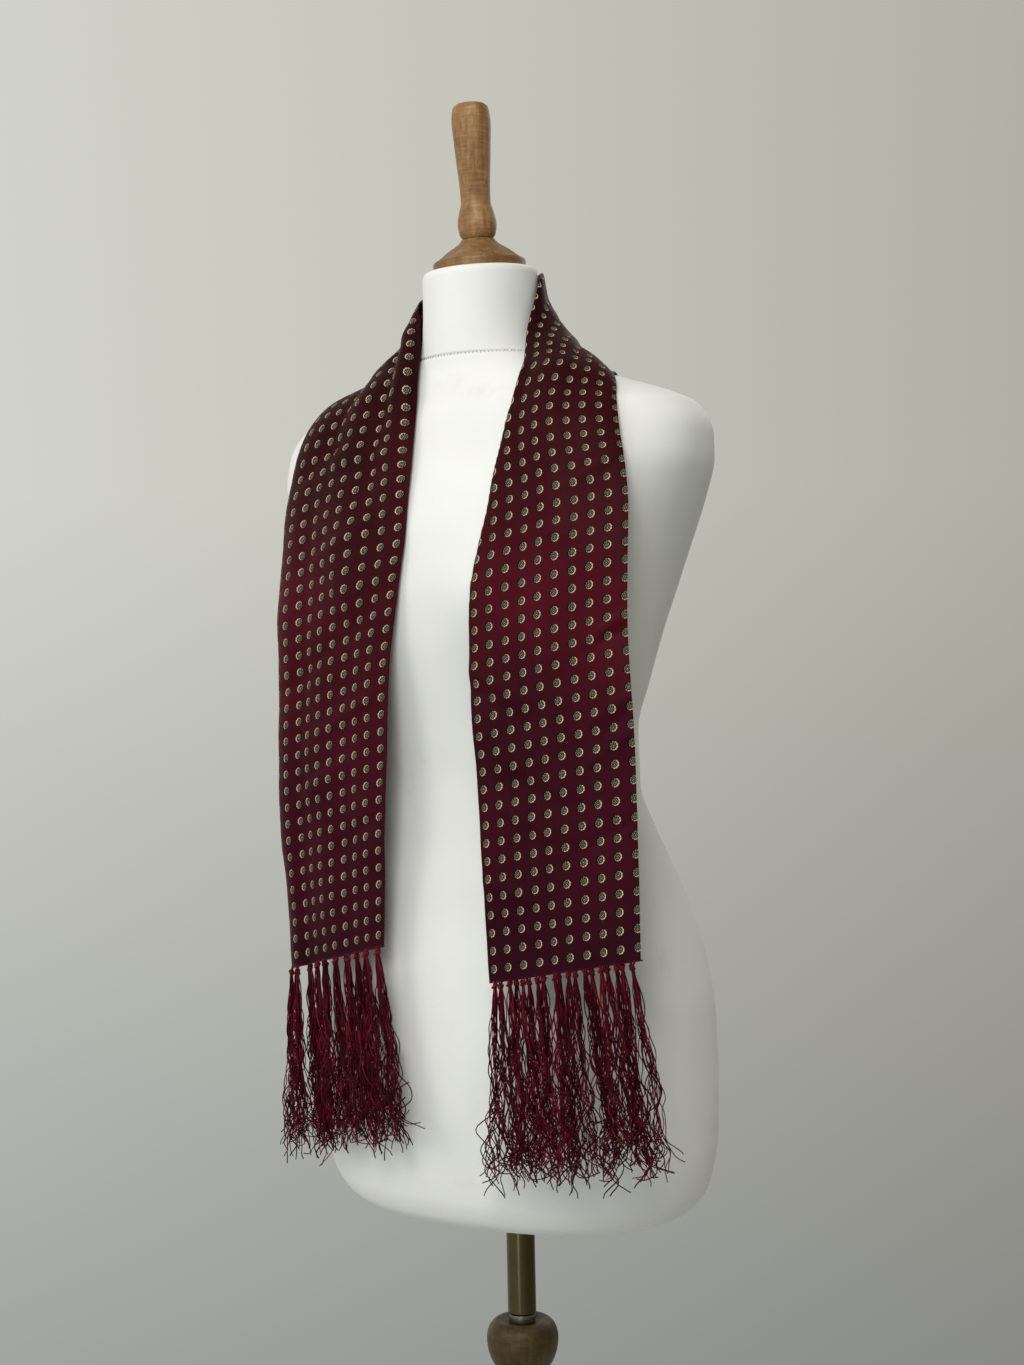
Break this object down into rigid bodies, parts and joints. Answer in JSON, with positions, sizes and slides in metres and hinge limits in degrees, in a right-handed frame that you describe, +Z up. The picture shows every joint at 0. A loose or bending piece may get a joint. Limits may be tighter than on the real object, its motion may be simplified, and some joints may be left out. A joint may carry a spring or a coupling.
{
  "type": "silk scarf on a dress form",
  "caption": "Long flat silk scarf with knotted fringe, hung round the neck of a limbless dress form on a pole and turned wooden stand.",
  "frame": {"origin": "on the floor, at the middle of the base's flat underside, on the pole's axis", "axes": "+Z up along the pole, the form faces -Y, the form's own left is +X"},
  "size_m": [0.4002, 0.36, 1.6826],
  "materials": {
    "turned_wood": "turned beech or walnut, stained mid-brown, satin varnish",
    "pole_metal": "polished tube with a warm tone",
    "white_jersey": "matt off-white jersey over foam",
    "burgundy_silk": "woven silk twill with a soft sheen and a small cream rosette repeat",
    "crimson_thread": "loose twisted silk thread"
  },
  "bodies": {
    "root": {"base": "turned_wood", "stem": "turned_wood", "collar": "pole_metal", "pole": "pole_metal", "torso": "white_jersey", "neck_cap": "turned_wood", "handle": "turned_wood", "scarf_neck": "burgundy_silk", "scarf_left_front": "burgundy_silk", "scarf_right_front": "burgundy_silk", "fringe_left_front": "crimson_thread", "fringe_left_back": "crimson_thread", "fringe_right_front": "crimson_thread", "fringe_right_back": "crimson_thread"}
  },
  "joints": []
}
